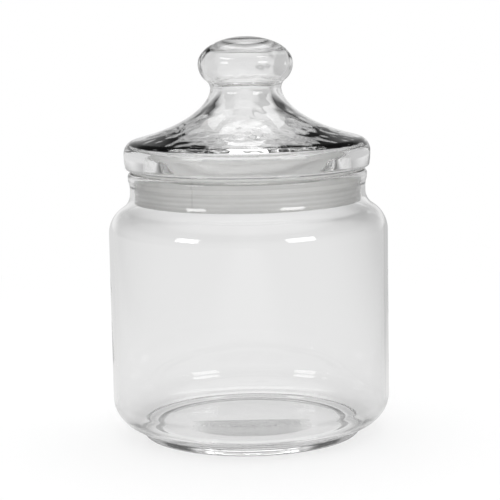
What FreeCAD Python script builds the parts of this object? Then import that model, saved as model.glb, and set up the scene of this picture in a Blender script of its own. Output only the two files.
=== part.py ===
"""Glass storage jar with a blown glass lid and a ribbed plastic seal.

Three turned pieces share one upright axis, +Z. The origin is the middle of the
foot ring, on the surface the jar stands on. Every length is in millimetres.
"""
import FreeCAD, Part
import math
import os

# ---------------------------------------------------------------- jar sizes
neck_bore_radius = 53.7       # inside of the neck, where the seal runs
wall = 1.9                    # glass of the body, shoulder and neck
shoulder_step = 10.4          # how far the body stands out past the neck
shoulder_round = 13.5         # outer radius where the body turns in
shoulder_hollow = 8.5         # outer radius where the shoulder meets the neck
shoulder_start = 97.0         # height where the straight side ends
neck_straight = 2.2           # straight stretch of the neck
bead_flare = 5.8              # height over which the neck widens to its bead
bead_projection = 0.85        # how far the bead stands out past the neck
bead_round = 2.2              # outer rounding of the rim
rim_bore_round = 0.8          # inner rounding of the rim

heel_width = 14.0             # outer rounding between the foot ring and the side
heel_rise = 14.7
heel_slope = 8.0              # degrees that the heel climbs where it leaves the foot
inner_heel_radius = 10.0      # inner rounding between the wall and the floor
base_thickness = 4.5          # glass in the middle of the base
heel_lift = 3.8               # height of the foot ring under the heel
foot_round = 1.8              # outer rounding of the foot ring
foot_land = 4.0               # flat width that the jar stands on
push_up_height = 1.8          # rise of the base inside the foot ring
push_up_slope = 4.2           # width over which that rise happens

# --------------------------------------------------------------- seal sizes
neck_clearance = 0.3          # seal to neck, and seal to rim, so that the lid lifts
plug_clearance = 0.1          # seal to plug, and seal to the underside of the lid
seal_wall = 1.7               # sleeve of the seal, measured over its bands
seal_lip = 0.9                # thickness of the lip that lies on the rim
seal_depth = 14.7             # sleeve below the top of the rim
seal_band_height = 9.2        # lower, ribbed band
seal_groove_height = 1.8      # groove above the lower band
seal_fin_height = 1.6         # upper fin
seal_groove_depth = 0.7
seal_rib_count = 4
seal_rib_height = 0.25
seal_rib_width = 0.8

# ---------------------------------------------------------------- lid sizes
flange_overhang = 1.65        # flange past the jar's bead
flange_barrel = 0.45          # how much the flange's side bulges
flange_foot_round = 1.4       # rounding of the flange's lower edge
flange_side = 7.2             # height of the flange's side, with that rounding
flange_round = 6.5            # rounding from the side on to the top
cone_slope = 14.0             # degrees above level where the top leaves the rounding
cone_fullness = 0.86          # share of the cone's width pulled by its lower end
stem_fullness = 0.18          # share of the cone's height pulled by its upper end
cone_rise = 23.4              # height from the end of the rounding to the stem
stem_radius = 16.75
stem_hollow = 4.8             # rounding under the knob
knob_under_round = 10.0       # rounding of the knob's lower half
knob_radius = 22.35
knob_crown = 12.7             # height of the knob above its widest point

plug_wall = 2.6               # glass of the plug that carries the seal
plug_drop = 13.9              # plug below the top of the rim
plug_bore_rise = 8.3          # straight bore of the plug above the flange's underside
flange_wall = 3.1             # glass outside the hollow, where it is widest
shelf_wall = 2.5              # glass over the hollow's rim
under_shelf_slope = 11.5      # degrees that the hollow's ceiling climbs from its rim
under_shelf_round = 1.5       # rounding of the hollow's rim
stem_wall = 5.4
knob_wall = 2.0
crown_wall = 4.6              # glass at the very top of the knob
inner_cone_fullness = 0.80
inner_stem_fullness = 0.30
cavity_fullness = 0.85        # squareness of the knob's inner dome
cavity_stem_round = 2.0       # inner rounding from the stem's bore to the knob
cavity_side_round = 8.5       # inner rounding of the knob's lower half

# ------------------------------------------------------------ worked-out sizes
QUARTER_ARC_PULL = 0.5523     # handle length that makes a quarter of an ellipse


def s_curve_rise(step, first_round, second_round):
    """Height over which two tangent arcs carry an upright line sideways by step."""
    turn = math.acos(1 - step / (first_round + second_round))
    return (first_round + second_round) * math.sin(turn)


neck_radius = neck_bore_radius + wall
body_radius = neck_radius + shoulder_step
body_bore_radius = body_radius - wall
heel_foot_radius = body_radius - heel_width
side_start = heel_lift + heel_rise
foot_turn = math.acos(max(1 - heel_lift / foot_round, 0.0))
foot_flat_outer = heel_foot_radius - foot_round * math.sin(foot_turn)
foot_flat_inner = foot_flat_outer - foot_land
push_up_radius = foot_flat_inner - push_up_slope
floor_height = push_up_height + base_thickness

shoulder_end = shoulder_start + s_curve_rise(shoulder_step, shoulder_round, shoulder_hollow)
bead_start = shoulder_end + neck_straight
bead_height = bead_start + bead_flare
bead_radius = neck_radius + bead_projection
rim_height = bead_height + bead_round

seal_radius = neck_bore_radius - neck_clearance
seal_bottom = rim_height - seal_depth
seal_lip_bottom = rim_height + neck_clearance
seal_top = seal_lip_bottom + seal_lip
seal_lip_radius = bead_radius - bead_round / 2
seal_bore_radius = seal_radius - seal_wall

plug_radius = seal_bore_radius - plug_clearance
plug_bore_radius = plug_radius - plug_wall
plug_bottom = rim_height - plug_drop
flange_bottom = seal_top + plug_clearance
flange_radius = bead_radius + flange_overhang
flange_side_top = flange_bottom + flange_side
stem_start = flange_side_top + flange_round * math.cos(math.radians(cone_slope)) + cone_rise
knob_centre = stem_start + s_curve_rise(knob_radius - stem_radius, stem_hollow, knob_under_round)
lid_top = knob_centre + knob_crown


class Outline:
    """A closed outline in the plane of radius and height, turned about +Z."""

    def __init__(self, radius, height):
        self.start = FreeCAD.Vector(radius, 0, height)
        self.here = self.start
        self.edges = []

    def line(self, radius, height):
        end = FreeCAD.Vector(radius, 0, height)
        if end.distanceToPoint(self.here) > 1e-6:
            self.edges.append(Part.LineSegment(self.here, end).toShape())
            self.here = end

    def arc_to(self, centre, end):
        """The shorter arc about a centre, to a point as far from it as this one."""
        size = self.here.distanceToPoint(centre)
        bisector = (self.here - centre) + (end - centre)
        bisector.normalize()
        self.edges.append(Part.Arc(self.here, centre + bisector * size, end).toShape())
        self.here = end

    def arc(self, centre_radius, centre_height, turn_to):
        """Arc about a centre, to the angle turn_to in degrees above level."""
        centre = FreeCAD.Vector(centre_radius, 0, centre_height)
        size = self.here.distanceToPoint(centre)
        turn = math.radians(turn_to)
        self.arc_to(centre, centre + FreeCAD.Vector(math.cos(turn), 0, math.sin(turn)) * size)

    def curve(self, first_handle, second_handle, end):
        """Cubic curve with two handles; each point is (radius, height)."""
        poles = [self.here]
        poles += [FreeCAD.Vector(radius, 0, height) for radius, height in (first_handle, second_handle, end)]
        bezier = Part.BezierCurve()
        bezier.setPoles(poles)
        self.edges.append(bezier.toShape())
        self.here = poles[-1]

    def s_curve(self, end_radius, first_round, second_round, way=1):
        """Two tangent arcs from upright to upright, up with way 1 or down with way -1."""
        step = end_radius - self.here.x
        side = math.copysign(1, step)
        rise = way * s_curve_rise(abs(step), first_round, second_round)
        end = FreeCAD.Vector(end_radius, 0, self.here.z + rise)
        first_centre = FreeCAD.Vector(self.here.x + side * first_round, 0, self.here.z)
        second_centre = FreeCAD.Vector(end_radius - side * second_round, 0, end.z)
        share = first_round / (first_round + second_round)
        self.arc_to(first_centre, first_centre + (second_centre - first_centre) * share)
        self.arc_to(second_centre, end)

    def quarter_to_axis(self, height):
        """Quarter of an ellipse from an upright line to the axis."""
        radius = self.here.x
        rise = height - self.here.z
        self.curve((radius, self.here.z + rise * QUARTER_ARC_PULL),
                   (radius * QUARTER_ARC_PULL, height), (0, height))

    def dome_from_axis(self, radius, height, fullness):
        """Dome from the axis down to an upright line; with more fullness it is squarer."""
        rise = self.here.z - height
        self.curve((radius * fullness, self.here.z), (radius, height + rise * fullness), (radius, height))

    def turned(self):
        self.line(self.start.x, self.start.z)
        face = Part.Face(Part.Wire(self.edges))
        solid = face.revolve(FreeCAD.Vector(0, 0, 0), FreeCAD.Vector(0, 0, 1), 360)
        if solid.Volume < 0:
            solid.reverse()
        return solid


def make_jar():
    """Foot ring, heel, straight side, shoulder, neck and beaded rim, in one glass wall."""
    jar = Outline(0, push_up_height)
    jar.line(push_up_radius, push_up_height)
    half_slope = (push_up_radius + foot_flat_inner) / 2
    jar.curve((half_slope, push_up_height), (half_slope, 0), (foot_flat_inner, 0))
    jar.line(foot_flat_outer, 0)
    jar.arc(foot_flat_outer, foot_round, math.degrees(foot_turn) - 90)
    jar.line(heel_foot_radius, heel_lift)
    heel_pull = QUARTER_ARC_PULL * heel_width
    jar.curve((heel_foot_radius + heel_pull, heel_lift + heel_pull * math.tan(math.radians(heel_slope))),
              (body_radius, side_start - QUARTER_ARC_PULL * heel_rise), (body_radius, side_start))
    jar.line(body_radius, shoulder_start)
    jar.s_curve(neck_radius, shoulder_round, shoulder_hollow)
    jar.line(neck_radius, bead_start)
    half_flare = (bead_start + bead_height) / 2
    jar.curve((neck_radius, half_flare), (bead_radius, half_flare), (bead_radius, bead_height))
    jar.arc(bead_radius - bead_round, bead_height, 90)
    jar.line(neck_bore_radius + rim_bore_round, rim_height)
    jar.arc(neck_bore_radius + rim_bore_round, rim_height - rim_bore_round, 180)
    jar.line(neck_bore_radius, shoulder_end)
    jar.s_curve(body_bore_radius, shoulder_hollow + wall, shoulder_round - wall, way=-1)
    jar.line(body_bore_radius, floor_height + inner_heel_radius)
    jar.arc(body_bore_radius - inner_heel_radius, floor_height + inner_heel_radius, -90)
    jar.line(0, floor_height)
    return jar.turned()


def make_seal():
    """Sleeve around the plug, with a ribbed band, a fin and a lip on the rim."""
    band_top = seal_bottom + seal_band_height
    fin_bottom = band_top + seal_groove_height
    fin_top = fin_bottom + seal_fin_height
    groove_radius = seal_radius - seal_groove_depth
    band_radius = seal_radius - seal_rib_height
    rib_pitch = seal_band_height / seal_rib_count
    seal = Outline(seal_bore_radius, seal_bottom)
    seal.line(band_radius, seal_bottom)
    for rib in range(seal_rib_count):
        rib_middle = seal_bottom + (rib + 0.5) * rib_pitch
        seal.line(band_radius, rib_middle - seal_rib_width / 2)
        seal.line(seal_radius, rib_middle)
        seal.line(band_radius, rib_middle + seal_rib_width / 2)
    seal.line(band_radius, band_top)
    seal.line(groove_radius, band_top)
    seal.line(groove_radius, fin_bottom)
    seal.line(seal_radius, fin_bottom)
    seal.line(seal_radius, fin_top)
    seal.line(groove_radius, fin_top)
    seal.line(groove_radius, seal_lip_bottom)
    seal.line(seal_lip_radius, seal_lip_bottom)
    seal.line(seal_lip_radius, seal_top)
    seal.line(seal_bore_radius, seal_top)
    return seal.turned()


def make_lid():
    """Plug, flange, cone, stem and knob, blown hollow in one glass wall."""
    slope = math.radians(cone_slope)
    lid = Outline(plug_bore_radius, plug_bottom)
    lid.line(plug_radius, plug_bottom)
    lid.line(plug_radius, flange_bottom)
    flank_radius = flange_radius - flange_barrel
    lid.line(flank_radius - flange_foot_round, flange_bottom)
    lid.arc(flank_radius - flange_foot_round, flange_bottom + flange_foot_round, 0)
    flank_height = flange_side_top - lid.here.z
    flank_round = (flank_height ** 2 + flange_barrel ** 2) / (2 * flange_barrel)
    lid.arc(flange_radius - flank_round, flange_side_top, 0)
    lid.arc(flange_radius - flange_round, flange_side_top, 90 - cone_slope)

    shelf_radius = lid.here.x
    shelf_height = lid.here.z
    pull = cone_fullness * (shelf_radius - stem_radius)
    lid.curve((shelf_radius - pull * math.cos(slope), shelf_height + pull * math.sin(slope)),
              (stem_radius, stem_start - stem_fullness * (stem_start - shelf_height)),
              (stem_radius, stem_start))
    lid.s_curve(knob_radius, stem_hollow, knob_under_round)
    lid.quarter_to_axis(lid_top)

    stem_bore_radius = stem_radius - stem_wall
    cavity_radius = knob_radius - knob_wall
    lid.line(0, lid_top - crown_wall)
    lid.dome_from_axis(cavity_radius, knob_centre, cavity_fullness)
    lid.s_curve(stem_bore_radius, cavity_side_round, cavity_stem_round, way=-1)
    lid.line(stem_bore_radius, stem_start)

    under_slope = math.radians(under_shelf_slope)
    hollow_radius = flange_radius - flange_wall
    corner_centre = hollow_radius - under_shelf_round
    corner_radius = corner_centre + under_shelf_round * math.sin(under_slope)
    corner_height = (shelf_height + (shelf_radius - corner_radius) * math.tan(slope)
                     - shelf_wall / math.cos(slope))
    inner_pull = inner_cone_fullness * (corner_radius - stem_bore_radius)
    lid.curve((stem_bore_radius, stem_start - inner_stem_fullness * (stem_start - corner_height)),
              (corner_radius - inner_pull * math.cos(under_slope),
               corner_height + inner_pull * math.sin(under_slope)),
              (corner_radius, corner_height))
    corner_bottom = corner_height - under_shelf_round * math.cos(under_slope)
    lid.arc(corner_centre, corner_bottom, 0)
    lid.line(plug_bore_radius, flange_bottom + plug_bore_rise)
    lid.line(plug_bore_radius, plug_bottom)
    return lid.turned()


pieces = {"jar": make_jar(), "seal": make_seal(), "lid": make_lid()}
os.makedirs("parts", exist_ok=True)
for name, solid in pieces.items():
    solid.exportStep("parts/" + name + ".step")
    box = solid.BoundBox
    print(name, "solids", len(solid.Solids), "valid", solid.isValid(),
          "volume cm3", round(solid.Volume / 1000, 1),
          "height", round(box.ZMin, 2), "to", round(box.ZMax, 2), "width", round(box.XLength, 2))
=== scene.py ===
import bpy
import math
from mathutils import Matrix, Vector, noise


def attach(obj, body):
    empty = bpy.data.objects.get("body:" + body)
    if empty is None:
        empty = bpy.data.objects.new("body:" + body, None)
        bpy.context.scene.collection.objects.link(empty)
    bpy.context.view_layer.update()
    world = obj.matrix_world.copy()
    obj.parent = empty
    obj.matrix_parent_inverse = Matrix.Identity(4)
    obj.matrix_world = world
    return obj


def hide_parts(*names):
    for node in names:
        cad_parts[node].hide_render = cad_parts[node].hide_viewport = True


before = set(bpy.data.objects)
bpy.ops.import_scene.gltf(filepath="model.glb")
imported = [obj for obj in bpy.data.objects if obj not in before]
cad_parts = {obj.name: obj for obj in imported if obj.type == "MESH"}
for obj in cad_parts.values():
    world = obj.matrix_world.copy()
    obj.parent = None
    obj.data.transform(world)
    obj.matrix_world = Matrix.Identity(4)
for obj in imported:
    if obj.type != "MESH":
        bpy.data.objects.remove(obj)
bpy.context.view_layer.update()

MM = 0.001
QUARTER_ARC_PULL = 0.5523     # handle length that makes a quarter of an ellipse
LONG_WAVE = 16                # length of the swells in blown glass
SHORT_WAVE = 5                # length of its ripples
SHORT_WAVE_PLACE = Vector((7, 3, 5))    # keeps the ripples apart from the swells
# heights of the swells and ripples on the inside of the lid
KNOB_DOME_WAVES = (0.5, 0.25)
KNOB_FOOT_WAVES = (0.12, 0.05)
STEM_WAVES = (0.1, 0.1)
PLUG_WAVES = (0.05, 0.0)
SEGMENTS = 288                # around the jar and the seal
LID_SEGMENTS = 320
SHARP_EDGE = 35               # degrees at which an edge stays sharp
TOUCHING = 1e-6               # distance at which two points are one

# ------------------------------------------------------------------ driving sizes
# jar
neck_bore_radius = 53.7
wall = 1.9
shoulder_step = 10.4
shoulder_round = 13.5
shoulder_hollow = 8.5
shoulder_start = 97.0
neck_straight = 2.2
bead_flare = 5.8
bead_projection = 0.85
bead_round = 2.2
rim_bore_round = 0.8
heel_width = 14.0
heel_rise = 14.7
heel_slope = 8.0
inner_heel_radius = 10.0
base_thickness = 4.5
heel_lift = 3.8
foot_round = 1.8
foot_land = 4.0
push_up_height = 1.8
push_up_slope = 4.2
# seal
neck_clearance = 0.3
plug_clearance = 0.1
seal_wall = 1.7
seal_lip = 0.9
seal_depth = 14.7
seal_band_height = 9.2
seal_groove_height = 1.8
seal_fin_height = 1.6
seal_groove_depth = 0.7
seal_rib_count = 4
seal_rib_height = 0.25
seal_rib_wear = 0.1           # how far the crests of the ribs are worn down
seal_rib_steps = 10
# lid
flange_overhang = 1.65
flange_barrel = 0.45
flange_foot_round = 1.4
flange_side = 7.2
flange_round = 6.5
cone_slope = 14.0
cone_fullness = 0.86
stem_fullness = 0.18
cone_rise = 23.4
stem_radius = 16.75
stem_hollow = 4.8
knob_under_round = 10.0
knob_radius = 22.35
knob_crown = 12.7
plug_wall = 2.6
plug_drop = 13.9
plug_bore_rise = 8.3
flange_wall = 3.1
shelf_wall = 2.5
under_shelf_slope = 11.5
under_shelf_round = 1.5
flare_pull = 0.3              # softness of the flare above the plug's bore
stem_wall = 5.4
knob_wall = 2.0
crown_wall = 4.6
cavity_fullness = 0.85
inner_cone_fullness = 0.80
inner_stem_fullness = 0.30
cavity_stem_round = 2.0
cavity_side_round = 8.5


def s_curve_rise(step, first_round, second_round):
    """Height over which two tangent arcs carry an upright line sideways by step."""
    turn = math.acos(1 - step / (first_round + second_round))
    return (first_round + second_round) * math.sin(turn)


# --------------------------------------------------------------- worked-out sizes
neck_radius = neck_bore_radius + wall
body_radius = neck_radius + shoulder_step
body_bore_radius = body_radius - wall
heel_foot_radius = body_radius - heel_width
side_start = heel_lift + heel_rise
foot_turn = math.acos(max(1 - heel_lift / foot_round, 0.0))
foot_flat_outer = heel_foot_radius - foot_round * math.sin(foot_turn)
foot_flat_inner = foot_flat_outer - foot_land
push_up_radius = foot_flat_inner - push_up_slope
floor_height = push_up_height + base_thickness
shoulder_end = shoulder_start + s_curve_rise(shoulder_step, shoulder_round, shoulder_hollow)
bead_start = shoulder_end + neck_straight
bead_height = bead_start + bead_flare
bead_radius = neck_radius + bead_projection
rim_height = bead_height + bead_round
seal_radius = neck_bore_radius - neck_clearance
seal_bottom = rim_height - seal_depth
seal_lip_bottom = rim_height + neck_clearance
seal_top = seal_lip_bottom + seal_lip
seal_lip_radius = bead_radius - bead_round / 2
seal_bore_radius = seal_radius - seal_wall
plug_radius = seal_bore_radius - plug_clearance
plug_bore_radius = plug_radius - plug_wall
plug_bottom = rim_height - plug_drop
flange_bottom = seal_top + plug_clearance
flange_radius = bead_radius + flange_overhang
flange_side_top = flange_bottom + flange_side
stem_start = flange_side_top + flange_round * math.cos(math.radians(cone_slope)) + cone_rise
knob_centre = stem_start + s_curve_rise(knob_radius - stem_radius, stem_hollow, knob_under_round)
lid_top = knob_centre + knob_crown
stem_bore_radius = stem_radius - stem_wall
cavity_radius = knob_radius - knob_wall


# ------------------------------------------------------------------ turned shapes
class Outline:
    """Points (radius, height, swell, ripple) of a turned shape.

    swell and ripple are how far the surface wanders there, in long and in short waves.
    They change evenly along a stretch, from what they were at its start.
    """

    def __init__(self, radius, height):
        self.swell = 0.0
        self.ripple = 0.0
        self.points = [(radius, height, 0.0, 0.0)]

    @property
    def here(self):
        return self.points[-1][0], self.points[-1][1]

    def stretch(self, places):
        old_swell, old_ripple = self.points[-1][2:]
        for index, (radius, height) in enumerate(places):
            share = (index + 1) / len(places)
            self.points.append((radius, height, old_swell + (self.swell - old_swell) * share,
                                old_ripple + (self.ripple - old_ripple) * share))

    def line(self, radius, height, steps=1):
        start = self.here
        if math.dist(start, (radius, height)) < TOUCHING:
            return
        shares = [k / steps for k in range(1, steps + 1)]
        self.stretch([(start[0] + (radius - start[0]) * share, start[1] + (height - start[1]) * share)
                      for share in shares])

    def arc(self, centre_radius, centre_height, turn_to, degrees_per_step=5.0):
        """Shorter arc about a centre, to the angle turn_to in degrees above level."""
        radius, height = self.here
        size = math.dist((radius, height), (centre_radius, centre_height))
        start = math.degrees(math.atan2(height - centre_height, radius - centre_radius))
        sweep = (turn_to - start + 180) % 360 - 180
        steps = max(2, round(abs(sweep) / degrees_per_step))
        angles = [math.radians(start + sweep * k / steps) for k in range(1, steps + 1)]
        self.stretch([(centre_radius + size * math.cos(angle), centre_height + size * math.sin(angle))
                      for angle in angles])

    def curve(self, first_handle, second_handle, end, steps=24):
        """Cubic curve with two handles."""
        start = self.here
        places = []
        for k in range(1, steps + 1):
            t = k / steps
            weights = ((1 - t) ** 3, 3 * (1 - t) ** 2 * t, 3 * (1 - t) * t ** 2, t ** 3)
            corners = (start, first_handle, second_handle, end)
            places.append((sum(w * c[0] for w, c in zip(weights, corners)),
                           sum(w * c[1] for w, c in zip(weights, corners))))
        self.stretch(places)

    def s_curve(self, end_radius, first_round, second_round, way=1):
        """Two tangent arcs from upright to upright, up with way 1 or down with way -1."""
        radius, height = self.here
        step = end_radius - radius
        side = math.copysign(1, step)
        end_height = height + way * s_curve_rise(abs(step), first_round, second_round)
        first = (radius + side * first_round, height)
        second = (end_radius - side * second_round, end_height)
        angle = math.degrees(math.atan2(second[1] - first[1], second[0] - first[0]))
        self.arc(first[0], first[1], angle)
        self.arc(second[0], second[1], 0 if side > 0 else 180)

    def quarter_to_axis(self, height):
        """Quarter of an ellipse from an upright line to the axis."""
        radius, start = self.here
        self.curve((radius, start + (height - start) * QUARTER_ARC_PULL),
                   (radius * QUARTER_ARC_PULL, height), (0, height))

    def dome_from_axis(self, radius, height, fullness):
        """Dome from the axis down to an upright line; with more fullness it is squarer."""
        start = self.here[1]
        self.curve((radius * fullness, start),
                   (radius, height + (start - height) * fullness), (radius, height))


def jar_outline():
    jar = Outline(0, push_up_height)
    jar.line(push_up_radius, push_up_height, 14)
    half_slope = (push_up_radius + foot_flat_inner) / 2
    jar.curve((half_slope, push_up_height), (half_slope, 0), (foot_flat_inner, 0))
    jar.line(foot_flat_outer, 0, 4)
    jar.arc(foot_flat_outer, foot_round, math.degrees(foot_turn) - 90)
    jar.line(heel_foot_radius, heel_lift)
    heel_pull = QUARTER_ARC_PULL * heel_width
    jar.curve((heel_foot_radius + heel_pull, heel_lift + heel_pull * math.tan(math.radians(heel_slope))),
              (body_radius, side_start - QUARTER_ARC_PULL * heel_rise), (body_radius, side_start))
    jar.line(body_radius, shoulder_start, 26)
    jar.s_curve(neck_radius, shoulder_round, shoulder_hollow)
    jar.line(neck_radius, bead_start, 2)
    half_flare = (bead_start + bead_height) / 2
    jar.curve((neck_radius, half_flare), (bead_radius, half_flare), (bead_radius, bead_height), 14)
    jar.arc(bead_radius - bead_round, bead_height, 90)
    jar.line(neck_bore_radius + rim_bore_round, rim_height)
    jar.arc(neck_bore_radius + rim_bore_round, rim_height - rim_bore_round, 180)
    jar.line(neck_bore_radius, shoulder_end, 6)
    jar.s_curve(body_bore_radius, shoulder_hollow + wall, shoulder_round - wall, way=-1)
    jar.line(body_bore_radius, floor_height + inner_heel_radius, 26)
    jar.arc(body_bore_radius - inner_heel_radius, floor_height + inner_heel_radius, -90)
    jar.line(0, floor_height, 18)
    return jar


def seal_outline():
    band_top = seal_bottom + seal_band_height
    fin_bottom = band_top + seal_groove_height
    fin_top = fin_bottom + seal_fin_height
    groove_radius = seal_radius - seal_groove_depth
    rib_pitch = seal_band_height / seal_rib_count
    valley_radius = seal_radius - seal_rib_height
    crest = seal_rib_height - seal_rib_wear
    seal = Outline(seal_bore_radius, seal_bottom)
    seal.line(valley_radius, seal_bottom)
    shares = [k / seal_rib_steps for k in range(1, seal_rib_steps + 1)]
    for rib in range(seal_rib_count):
        seal.stretch([(valley_radius + crest * math.sin(math.pi * share) ** 2,
                       seal_bottom + rib_pitch * (rib + share)) for share in shares])
    seal.line(groove_radius, band_top)
    seal.line(groove_radius, fin_bottom)
    seal.line(seal_radius, fin_bottom)
    seal.line(seal_radius, fin_top)
    seal.line(groove_radius, fin_top)
    seal.line(groove_radius, seal_lip_bottom)
    seal.line(seal_lip_radius, seal_lip_bottom)
    seal.line(seal_lip_radius, seal_top)
    seal.line(seal_bore_radius, seal_top)
    return seal


def lid_outline():
    slope = math.radians(cone_slope)
    lid = Outline(plug_bore_radius, plug_bottom)
    lid.line(plug_radius, plug_bottom)
    lid.line(plug_radius, flange_bottom, 4)
    flank_radius = flange_radius - flange_barrel
    lid.line(flank_radius - flange_foot_round, flange_bottom)
    lid.arc(flank_radius - flange_foot_round, flange_bottom + flange_foot_round, 0)
    flank_height = flange_side_top - lid.here[1]
    flank_round = (flank_height ** 2 + flange_barrel ** 2) / (2 * flange_barrel)
    lid.arc(flange_radius - flank_round, flange_side_top, 0, 1.0)
    lid.arc(flange_radius - flange_round, flange_side_top, 90 - cone_slope)
    shelf_radius, shelf_height = lid.here
    pull = cone_fullness * (shelf_radius - stem_radius)
    lid.curve((shelf_radius - pull * math.cos(slope), shelf_height + pull * math.sin(slope)),
              (stem_radius, stem_start - stem_fullness * (stem_start - shelf_height)),
              (stem_radius, stem_start), 40)
    lid.s_curve(knob_radius, stem_hollow, knob_under_round)
    lid.quarter_to_axis(lid_top)

    # the hollow, from the knob down
    lid.line(0, lid_top - crown_wall)
    lid.swell, lid.ripple = KNOB_DOME_WAVES
    lid.dome_from_axis(cavity_radius, knob_centre, cavity_fullness)
    lid.swell, lid.ripple = KNOB_FOOT_WAVES
    lid.s_curve(stem_bore_radius, cavity_side_round, cavity_stem_round, way=-1)
    lid.swell, lid.ripple = STEM_WAVES
    lid.line(stem_bore_radius, stem_start, 6)
    under_slope = math.radians(under_shelf_slope)
    hollow_radius = flange_radius - flange_wall
    corner_centre = hollow_radius - under_shelf_round
    corner_radius = corner_centre + under_shelf_round * math.sin(under_slope)
    corner_height = (shelf_height + (shelf_radius - corner_radius) * math.tan(slope)
                     - shelf_wall / math.cos(slope))
    inner_pull = inner_cone_fullness * (corner_radius - stem_bore_radius)
    lid.curve((stem_bore_radius, stem_start - inner_stem_fullness * (stem_start - corner_height)),
              (corner_radius - inner_pull * math.cos(under_slope),
               corner_height + inner_pull * math.sin(under_slope)),
              (corner_radius, corner_height), 60)
    corner_bottom = corner_height - under_shelf_round * math.cos(under_slope)
    lid.arc(corner_centre, corner_bottom, 0)
    lid.swell, lid.ripple = PLUG_WAVES
    bore_top = flange_bottom + plug_bore_rise
    lid.curve((hollow_radius, corner_bottom - flare_pull), (plug_bore_radius, bore_top + flare_pull),
              (plug_bore_radius, bore_top), 16)
    lid.line(plug_bore_radius, plug_bottom, 8)
    return lid


def wander(place, swell, ripple):
    """How far a surface strays at a place, the same on every run."""
    long_waves = noise.noise(place / LONG_WAVE)
    short_waves = noise.noise(place / SHORT_WAVE + SHORT_WAVE_PLACE)
    return swell * long_waves + ripple * short_waves


def turned_rings(points, segments):
    """Vertices of an outline turned about +Z, and one ring of their numbers for each point.

    A point on the axis becomes one vertex.
    """
    vertices = []
    rings = []
    for index, (radius, height, swell, ripple) in enumerate(points):
        before = points[max(index - 1, 0)]
        after = points[min(index + 1, len(points) - 1)]
        along = Vector((after[0] - before[0], after[1] - before[1]))
        across = Vector((along.y, -along.x)).normalized()
        if radius < TOUCHING:
            rings.append([len(vertices)])
            shift = wander(Vector((0, 0, height)), swell, ripple) * across.y
            vertices.append((0, 0, (height + shift) * MM))
            continue
        ring = []
        for k in range(segments):
            angle = 2 * math.pi * k / segments
            spoke = Vector((math.cos(angle), math.sin(angle), 0))
            place = radius * spoke + Vector((0, 0, height))
            if swell or ripple:
                place += wander(place, swell, ripple) * (across.x * spoke + Vector((0, 0, across.y)))
            ring.append(len(vertices))
            vertices.append(place * MM)
        rings.append(ring)
    return vertices, rings


def band_faces(low, high, segments):
    """Faces between two rings; beside a point on the axis they are triangles."""
    if len(low) == 1 and len(high) == 1:
        return []
    faces = []
    for k in range(segments):
        after = (k + 1) % segments
        if len(low) == 1:
            faces.append((low[0], high[after], high[k]))
        elif len(high) == 1:
            faces.append((low[k], low[after], high[0]))
        else:
            faces.append((low[k], low[after], high[after], high[k]))
    return faces


def turned(name, outline, segments, closed):
    """A piece turned about +Z. A closed outline returns to its start."""
    points = outline.points
    if closed and math.dist(points[0][:2], points[-1][:2]) < TOUCHING:
        points = points[:-1]
    vertices, rings = turned_rings(points, segments)
    pairs = list(zip(rings, rings[1:]))
    if closed:
        pairs.append((rings[-1], rings[0]))
    faces = []
    for low, high in pairs:
        faces.extend(band_faces(low, high, segments))
    mesh = bpy.data.meshes.new(name)
    mesh.from_pydata(vertices, [], faces)
    mesh.validate()
    mesh.shade_smooth()
    mesh.set_sharp_from_angle(angle=math.radians(SHARP_EDGE))
    piece = bpy.data.objects.new(name, mesh)
    bpy.context.collection.objects.link(piece)
    return piece


jar = turned("jar_glass", jar_outline(), SEGMENTS, closed=False)
seal = turned("seal_ring", seal_outline(), SEGMENTS, closed=True)
lid = turned("lid_glass", lid_outline(), LID_SEGMENTS, closed=True)
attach(jar, "jar")
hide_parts("jar")
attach(seal, "seal")
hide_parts("seal")
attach(lid, "lid")
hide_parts("lid")


# ---------------------------------------------------------------------- materials
GLASS_WAVE_SCALE = 45         # fine waves that bend reflections a little
GLASS_WAVE_DEPTH = 0.0003
GLASS_SMEAR_SCALE = 24        # faint smears that soften the gloss here and there
GLASS_SMEAR_ROUGHNESS = 0.03
GLASS_IOR = 1.5
GLASS_SHADOW = (0.93, 0.93, 0.93, 1)    # light that the glass lets through to the floor
STIPPLE_RADIUS = 0.029        # the patch lies inside this circle
STIPPLE_START = 0.002         # and in front of this line
STIPPLE_TOP = 0.004           # and below this height
STIPPLE_EDGE = 0.0008         # width over which it fades at that circle and line
STIPPLE_FULL_WIDTH = 0.6      # share of the half-width that is fully stippled
STIPPLE_SCALE = 2400
STIPPLE_LENGTHEN = (1, 0.4, 1)          # the dots are longer from front to back
STIPPLE_DEPTH = 0.0006
STIPPLE_ROUGHNESS = 0.2
STIPPLE_LOSS = 0.1            # light lost all over the patch
STIPPLE_DOT_LOSS = 0.25       # and in its dots
SEAL_TONE = 0.81
SEAL_TONE_SPREAD = 0.03       # how far the clouds in the plastic change its tone
SEAL_GROOVE_PAINTED_LIGHT = 1.3          # painted light: the groove is painted lighter, for the light that gets through its thinner plastic
SEAL_GROOVE_LIGHT_EDGE = 0.0001
SEAL_EDGE_ON_PAINTED_SHADE = 0.72          # painted shade: seen edge on, the seal is painted darker
SEAL_TINT = (("Red", 1.0), ("Green", 1.0), ("Blue", 0.985))
SEAL_CLOUD_SCALE = 60
SEAL_TRANSMISSION = 0.6
SEAL_IOR = 1.42
SEAL_SHEEN_SCALE = 150        # patches of more and less gloss
SEAL_SMOOTHEST = 0.34
SEAL_ROUGHEST = 0.46
SEAL_GRAIN_SCALE = 260        # fine texture of the moulded surface
SEAL_GRAIN_DEPTH = 0.0002
SEAL_SHADOW = (0.75, 0.75, 0.74, 1)
SEAM_ANGLE = 27.6             # the mould's seam, from the front towards the left
SEAM_HALF_WIDTH = 0.0002
SEAM_TONE = 0.86


def new_material(name):
    material = bpy.data.materials.new(name)
    material.use_nodes = True
    material.node_tree.nodes.clear()
    return material, material.node_tree


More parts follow.
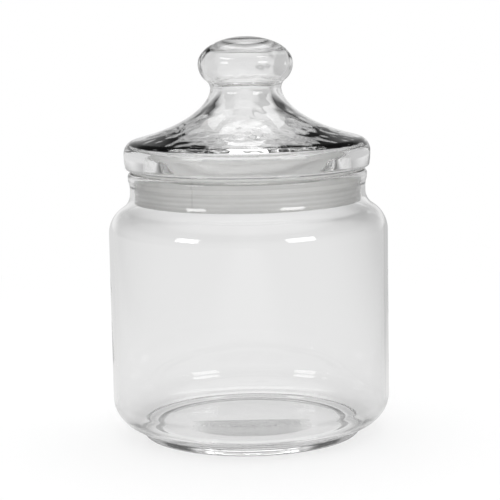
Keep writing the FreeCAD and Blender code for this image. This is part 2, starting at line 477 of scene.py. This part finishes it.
def ramp_between(tree, value, low, high, start=0.0, end=1.0, smooth=True):
    """A number that goes from start to end while value goes from low to high."""
    node = tree.nodes.new("ShaderNodeMapRange")
    if smooth:
        node.interpolation_type = "SMOOTHSTEP"
    node.inputs["From Min"].default_value = low
    node.inputs["From Max"].default_value = high
    node.inputs["To Min"].default_value = start
    node.inputs["To Max"].default_value = end
    tree.links.new(value, node.inputs["Value"])
    return node.outputs["Result"]


def combine(tree, operation, first, second):
    """One math node; the second input may be a plain number."""
    node = tree.nodes.new("ShaderNodeMath")
    node.operation = operation
    tree.links.new(first, node.inputs[0])
    if isinstance(second, (int, float)):
        node.inputs[1].default_value = second
    else:
        tree.links.new(second, node.inputs[1])
    return node.outputs[0]


def level_distance(tree, coords):
    """Distance from the axis, and the three coordinates."""
    split = tree.nodes.new("ShaderNodeSeparateXYZ")
    tree.links.new(coords, split.inputs[0])
    flat = tree.nodes.new("ShaderNodeVectorMath")
    flat.operation = "MULTIPLY"
    flat.inputs[1].default_value = (1, 1, 0)
    tree.links.new(coords, flat.inputs[0])
    length = tree.nodes.new("ShaderNodeVectorMath")
    length.operation = "LENGTH"
    tree.links.new(flat.outputs["Vector"], length.inputs[0])
    return length.outputs["Value"], split.outputs["X"], split.outputs["Y"], split.outputs["Z"]


def product(tree, *factors):
    """The factors multiplied together."""
    total = factors[0]
    for factor in factors[1:]:
        total = combine(tree, "MULTIPLY", total, factor)
    return total


def noise_texture(tree, coords, scale, detail):
    texture = tree.nodes.new("ShaderNodeTexNoise")
    texture.inputs["Scale"].default_value = scale
    texture.inputs["Detail"].default_value = detail
    tree.links.new(coords, texture.inputs["Vector"])
    return texture.outputs["Fac"]


def bump(tree, height, strength, distance, below=None):
    node = tree.nodes.new("ShaderNodeBump")
    node.inputs["Strength"].default_value = strength
    node.inputs["Distance"].default_value = distance
    tree.links.new(height, node.inputs["Height"])
    if below is not None:
        tree.links.new(below, node.inputs["Normal"])
    return node.outputs["Normal"]


def let_light_through(tree, shader, tint):
    """Finish a clear material: shadow rays pass straight through it, tinted."""
    clear = tree.nodes.new("ShaderNodeBsdfTransparent")
    clear.inputs["Color"].default_value = tint
    path = tree.nodes.new("ShaderNodeLightPath")
    mix = tree.nodes.new("ShaderNodeMixShader")
    output = tree.nodes.new("ShaderNodeOutputMaterial")
    tree.links.new(path.outputs["Is Shadow Ray"], mix.inputs["Fac"])
    tree.links.new(shader.outputs["BSDF"], mix.inputs[1])
    tree.links.new(clear.outputs["BSDF"], mix.inputs[2])
    tree.links.new(mix.outputs["Shader"], output.inputs["Surface"])


def stippled_patch(tree, coords):
    """1 on a plain stippled patch under the front of the base, with soft ends."""
    radius, across, depth, height = level_distance(tree, coords)
    inside = ramp_between(tree, radius, STIPPLE_RADIUS, STIPPLE_RADIUS - STIPPLE_EDGE)
    front = ramp_between(tree, depth, -STIPPLE_START, -STIPPLE_START - STIPPLE_EDGE)
    width = combine(tree, "ABSOLUTE", across, 0)
    ends = ramp_between(tree, width, STIPPLE_RADIUS, STIPPLE_FULL_WIDTH * STIPPLE_RADIUS)
    under = combine(tree, "LESS_THAN", height, STIPPLE_TOP)
    return product(tree, inside, front, ends, under)


def stipple(tree, coords, glass, normal, roughness):
    """Roughen and grey a glass shader on the stippled patch; gives its new normal and roughness."""
    mask = stippled_patch(tree, coords)
    lengthen = tree.nodes.new("ShaderNodeVectorMath")
    lengthen.operation = "MULTIPLY"
    lengthen.inputs[1].default_value = STIPPLE_LENGTHEN
    tree.links.new(coords, lengthen.inputs[0])
    grain = noise_texture(tree, lengthen.outputs["Vector"], STIPPLE_SCALE, 1)
    dots = product(tree, ramp_between(tree, grain, 0.42, 0.58), mask)
    patch_loss = combine(tree, "MULTIPLY", mask, STIPPLE_LOSS)
    dot_loss = combine(tree, "MULTIPLY", dots, STIPPLE_DOT_LOSS)
    clarity = combine(tree, "MULTIPLY_ADD", combine(tree, "ADD", patch_loss, dot_loss), -1)
    clarity.node.inputs[2].default_value = 1
    grey = tree.nodes.new("ShaderNodeCombineColor")
    for channel in ("Red", "Green", "Blue"):
        tree.links.new(clarity, grey.inputs[channel])
    tree.links.new(grey.outputs["Color"], glass.inputs["Base Color"])
    normal = bump(tree, dots, 0.8, STIPPLE_DEPTH, normal)
    roughness = combine(tree, "ADD", roughness, combine(tree, "MULTIPLY", mask, STIPPLE_ROUGHNESS))
    return normal, roughness


def glass_material(name, stippled=False):
    """Clear glass, with faint waves and smears that break up its reflections."""
    material, tree = new_material(name)
    coords = tree.nodes.new("ShaderNodeTexCoord").outputs["Object"]
    glass = tree.nodes.new("ShaderNodeBsdfPrincipled")
    glass.inputs["Base Color"].default_value = (1.0, 1.0, 1.0, 1)
    glass.inputs["Transmission Weight"].default_value = 1.0
    glass.inputs["IOR"].default_value = GLASS_IOR
    normal = bump(tree, noise_texture(tree, coords, GLASS_WAVE_SCALE, 1), 0.25, GLASS_WAVE_DEPTH)
    smears = noise_texture(tree, coords, GLASS_SMEAR_SCALE, 4)
    roughness = ramp_between(tree, smears, 0.5, 0.8, 0.0, GLASS_SMEAR_ROUGHNESS, False)
    if stippled:
        normal, roughness = stipple(tree, coords, glass, normal, roughness)
    tree.links.new(roughness, glass.inputs["Roughness"])
    tree.links.new(normal, glass.inputs["Normal"])
    let_light_through(tree, glass, GLASS_SHADOW)
    return material


def seal_tone(tree, coords):
    """Brightness of the seal: cloudy, painted lighter in its groove, painted darker where it is seen edge on,
    and darker at its seam.
    """
    radius, _, depth, _ = level_distance(tree, coords)
    cloud = noise_texture(tree, coords, SEAL_CLOUD_SCALE, 3)
    darkest = SEAL_TONE - SEAL_TONE_SPREAD
    lightest = SEAL_TONE + SEAL_TONE_SPREAD
    tone = ramp_between(tree, cloud, 0.3, 0.7, darkest, lightest, False)
    groove_edge = (seal_radius - seal_groove_depth / 2) * MM
    # painted light: the seal is painted lighter in its groove
    groove_painted_light = ramp_between(tree, radius, groove_edge + SEAL_GROOVE_LIGHT_EDGE, groove_edge - SEAL_GROOVE_LIGHT_EDGE,
                        1.0, SEAL_GROOVE_PAINTED_LIGHT)
    edge = tree.nodes.new("ShaderNodeLayerWeight")
    edge.inputs["Blend"].default_value = 0.5
    # painted shade: the seal is painted darker where it is seen edge on
    ends = ramp_between(tree, edge.outputs["Facing"], 0.1, 0.75, 1.0, SEAL_EDGE_ON_PAINTED_SHADE)
    seam_way = math.radians(SEAM_ANGLE)
    off_seam = tree.nodes.new("ShaderNodeVectorMath")
    off_seam.operation = "DOT_PRODUCT"
    off_seam.inputs[1].default_value = (math.cos(seam_way), -math.sin(seam_way), 0)
    tree.links.new(coords, off_seam.inputs[0])
    off_seam = combine(tree, "ABSOLUTE", off_seam.outputs["Value"], 0)
    seam = ramp_between(tree, off_seam, SEAM_HALF_WIDTH, 3 * SEAM_HALF_WIDTH, SEAM_TONE, 1.0)
    at_back = combine(tree, "GREATER_THAN", depth, 0)
    return product(tree, tone, groove_painted_light, ends, combine(tree, "MAXIMUM", seam, at_back))


def seal_material(name):
    """Milky soft plastic: light gets through it, but no picture does."""
    material, tree = new_material(name)
    coords = tree.nodes.new("ShaderNodeTexCoord").outputs["Object"]
    tone = seal_tone(tree, coords)
    colour = tree.nodes.new("ShaderNodeCombineColor")
    for channel, share in SEAL_TINT:
        tree.links.new(combine(tree, "MULTIPLY", tone, share), colour.inputs[channel])
    plastic = tree.nodes.new("ShaderNodeBsdfPrincipled")
    plastic.inputs["Transmission Weight"].default_value = SEAL_TRANSMISSION
    plastic.inputs["IOR"].default_value = SEAL_IOR
    sheen = noise_texture(tree, coords, SEAL_SHEEN_SCALE, 2)
    roughness = ramp_between(tree, sheen, 0.3, 0.7, SEAL_SMOOTHEST, SEAL_ROUGHEST, False)
    grain = bump(tree, noise_texture(tree, coords, SEAL_GRAIN_SCALE, 2), 0.15, SEAL_GRAIN_DEPTH)
    tree.links.new(roughness, plastic.inputs["Roughness"])
    tree.links.new(grain, plastic.inputs["Normal"])
    tree.links.new(colour.outputs["Color"], plastic.inputs["Base Color"])
    let_light_through(tree, plastic, SEAL_SHADOW)
    return material


jar.data.materials.append(glass_material("jar_clear_glass", stippled=True))
lid.data.materials.append(glass_material("lid_clear_glass"))
seal.data.materials.append(seal_material("milky_seal"))


# --------------------------------------------------------------- room and camera
# brightness by degrees above the horizon, of the cove behind the jar and of the room around
COVE_LEVELS = ((0, 0.86), (5, 0.82), (9, 0.62), (13, 0.40), (20, 0.28), (26, 0.07), (46, 0.05), (52, 0.45),
               (58, 0.65), (90, 0.7))
ROOM_LEVELS = ((0, 0.5), (10, 0.5), (20, 0.32), (27, 0.08), (46, 0.07), (54, 0.45), (64, 0.7), (90, 0.7))
COVE_START = 0.60             # cosine of the angle from straight behind where the cove begins
COVE_FULL = 0.94              # and where it has its full brightness
FLOOR_RADIUS = 8.0
FLOOR_CORNERS = 96
FLOOR_GAP = -0.0002           # the floor lies just under the foot ring
FLOOR_COLOUR = (0.9, 0.9, 0.9, 1)
FLOOR_GLOW_NEAR = 0.6         # share of its white that is the floor's own, near the jar
FLOOR_GLOW_START = 0.1        # distances over which that share grows to all of it
FLOOR_GLOW_END = 0.5
# brightness of the floor in reflections and through glass: by distance in metres, with a
# painted ring of shade under the foot, and then painted shade to each side
FOOT_SHADE = ((0.0, 0.98), (0.0498, 0.96), (0.0508, 0.26), (0.0516, 0.26), (0.0535, 0.78), (0.08, 0.82))
FOOT_AT_BACK = 0.7            # the ring of shade is faint at the back
BACK_START = -0.03            # from the front of the foot to its back
BACK_FULL = 0.02
FLOOR_SHADE_AT_RIGHT = 0.68
FLOOR_SHADE_AT_LEFT = 0.86
SIDE_START = 0.05             # distances over which painted shade darkens the floor to each side
RIGHT_FULL = 0.22
LEFT_FULL = 0.25
LAMP_AIM = Vector((0, 0, 0.1))


def seen_or_mirrored(tree):
    """1 for what the camera sees directly, in a reflection or through glass."""
    path = tree.nodes.new("ShaderNodeLightPath")
    total = path.outputs["Is Camera Ray"]
    for name in ("Is Glossy Ray", "Is Transmission Ray"):
        total = combine(tree, "MAXIMUM", total, path.outputs[name])
    return path, total


def ramp_through(tree, value, stops):
    """Brightness that follows (value, brightness) pairs."""
    ramp = tree.nodes.new("ShaderNodeValToRGB")
    places = ramp.color_ramp.elements
    while len(places) < len(stops):
        places.new(0.5)
    for place, (position, level) in zip(places, stops):
        place.position = position
        place.color = (level, level, level, 1)
    tree.links.new(value, ramp.inputs["Fac"])
    return ramp.outputs["Color"]


def height_ramp(tree, height, levels):
    """Brightness by height above the horizon, from (degrees, brightness) pairs."""
    return ramp_through(tree, height, [(math.sin(math.radians(degrees)), level) for degrees, level in levels])


def studio_world():
    """A white cove low down behind the jar, and a dim room above and around it.

    The camera sees plain white, and plain white light falls on the floor.
    """
    world = bpy.data.worlds.new("studio")
    world.use_nodes = True
    bpy.context.scene.world = world
    tree = world.node_tree
    tree.nodes.clear()
    add = tree.nodes.new
    link = tree.links.new
    coords = add("ShaderNodeTexCoord").outputs["Generated"]
    level, _, depth, height = level_distance(tree, coords)
    compass = combine(tree, "DIVIDE", depth, combine(tree, "MAXIMUM", level, 0.001))
    around = add("ShaderNodeMix")
    around.data_type = "RGBA"
    link(ramp_between(tree, compass, COVE_START, COVE_FULL), around.inputs["Factor"])
    link(height_ramp(tree, height, ROOM_LEVELS), around.inputs[6])
    link(height_ramp(tree, height, COVE_LEVELS), around.inputs[7])
    shade = add("ShaderNodeBackground")
    link(around.outputs[2], shade.inputs["Color"])
    white = add("ShaderNodeBackground")
    white.inputs["Color"].default_value = (1, 1, 1, 1)
    path = add("ShaderNodeLightPath")
    plain = combine(tree, "MAXIMUM", path.outputs["Is Camera Ray"], path.outputs["Is Diffuse Ray"])
    mix = add("ShaderNodeMixShader")
    output = add("ShaderNodeOutputWorld")
    link(plain, mix.inputs["Fac"])
    link(shade.outputs[0], mix.inputs[1])
    link(white.outputs[0], mix.inputs[2])
    link(mix.outputs[0], output.inputs["Surface"])


def floor_in_glass(tree, distance, across, depth):
    """Brightness of the floor where a reflection or the glass shows it, with painted shade under the foot and
    to each side.
    """
    back = ramp_between(tree, depth, BACK_START, BACK_FULL, 0.0, FOOT_AT_BACK)
    by_distance = combine(tree, "MAXIMUM", ramp_through(tree, distance, FOOT_SHADE), back)
    # painted shade: the floor is painted darker to its right and to its left
    shade_to_right = ramp_between(tree, across, SIDE_START, RIGHT_FULL, 1.0, FLOOR_SHADE_AT_RIGHT)
    shade_to_left = ramp_between(tree, across, -SIDE_START, -LEFT_FULL, 1.0, FLOOR_SHADE_AT_LEFT)
    return product(tree, by_distance, shade_to_right, shade_to_left)


def floor_material():
    """White paper that keeps the jar's soft shadow and fades into the white around it."""
    material, tree = new_material("white_floor")
    add = tree.nodes.new
    link = tree.links.new
    path, seen_somehow = seen_or_mirrored(tree)
    seen = path.outputs["Is Camera Ray"]
    coords = add("ShaderNodeTexCoord").outputs["Object"]
    distance, across, depth, _ = level_distance(tree, coords)
    seen_share = ramp_between(tree, distance, FLOOR_GLOW_START, FLOOR_GLOW_END, FLOOR_GLOW_NEAR, 1.0)
    mirrored = combine(tree, "SUBTRACT", seen_somehow, seen)
    share = product(tree, combine(tree, "MAXIMUM", seen_share, mirrored), seen_somehow)
    paper = add("ShaderNodeBsdfDiffuse")
    paper.inputs["Color"].default_value = FLOOR_COLOUR
    glow = add("ShaderNodeEmission")
    in_glass = floor_in_glass(tree, distance, across, depth)
    link(combine(tree, "MAXIMUM", in_glass, seen), glow.inputs["Strength"])
    mix = add("ShaderNodeMixShader")
    output = add("ShaderNodeOutputMaterial")
    link(share, mix.inputs["Fac"])
    link(paper.outputs[0], mix.inputs[1])
    link(glow.outputs[0], mix.inputs[2])
    link(mix.outputs[0], output.inputs["Surface"])
    return material


def studio_floor():
    """A round floor just under the jar."""
    mesh = bpy.data.meshes.new("floor")
    angles = [2 * math.pi * k / FLOOR_CORNERS for k in range(FLOOR_CORNERS)]
    rim = [(FLOOR_RADIUS * math.cos(angle), FLOOR_RADIUS * math.sin(angle), FLOOR_GAP) for angle in angles]
    mesh.from_pydata(rim, [], [tuple(range(FLOOR_CORNERS))])
    mesh.materials.append(floor_material())
    floor = bpy.data.objects.new("floor", mesh)
    bpy.context.collection.objects.link(floor)


def softbox(name, compass, climb, distance, width, height, brightness):
    """A lamp seen from the jar at a compass angle and a climb, facing the jar.

    The compass is in degrees from straight behind the jar towards its right side.
    brightness is how bright its face looks, where 1 is white paper.
    """
    lamp = bpy.data.lights.new(name, "AREA")
    lamp.shape = "RECTANGLE"
    lamp.size = width
    lamp.size_y = height
    lamp.energy = brightness * math.pi * width * height
    piece = bpy.data.objects.new(name, lamp)
    bpy.context.collection.objects.link(piece)
    compass = math.radians(compass)
    climb = math.radians(climb)
    way = Vector((math.sin(compass) * math.cos(climb), math.cos(compass) * math.cos(climb), math.sin(climb)))
    piece.location = LAMP_AIM + distance * way
    piece.rotation_euler = (-way).to_track_quat("-Z", "Y").to_euler()
    piece.visible_camera = False


studio_world()
studio_floor()
softbox("overhead_softbox", compass=0, climb=62, distance=1.3, width=1.1, height=0.5, brightness=1.6)
softbox("left_softbox", compass=-128, climb=20.5, distance=1.3, width=0.43, height=0.32, brightness=5.0)
softbox("right_softbox", compass=136, climb=20.5, distance=1.3, width=0.53, height=0.32, brightness=5.0)

camera_data = bpy.data.cameras.new("camera")
camera_data.sensor_width = 36
camera_data.lens = 130.35
camera = bpy.data.objects.new("camera", camera_data)
bpy.context.collection.objects.link(camera)
bpy.context.scene.camera = camera
camera_place = Vector((0, -0.85101, 0.21491))
camera_pitch = 0.148823       # radians, looking down
camera_yaw = 0.00069882       # towards the right
camera_roll = -0.01867        # the picture is tilted a little
forward = Vector((math.sin(camera_yaw) * math.cos(camera_pitch),
                  math.cos(camera_yaw) * math.cos(camera_pitch), -math.sin(camera_pitch)))
right = Vector((math.cos(camera_yaw), -math.sin(camera_yaw), 0))
up = right.cross(forward)
side = math.cos(camera_roll) * right + math.sin(camera_roll) * up
top = -math.sin(camera_roll) * right + math.cos(camera_roll) * up
turn = Matrix((side, top, -forward)).transposed().to_4x4()
camera.matrix_world = Matrix.Translation(camera_place) @ turn

cycles = bpy.context.scene.cycles
cycles.max_bounces = 32
cycles.transmission_bounces = 32
cycles.glossy_bounces = 16
cycles.transparent_max_bounces = 32

view = bpy.context.scene.view_settings
view.view_transform = "Standard"
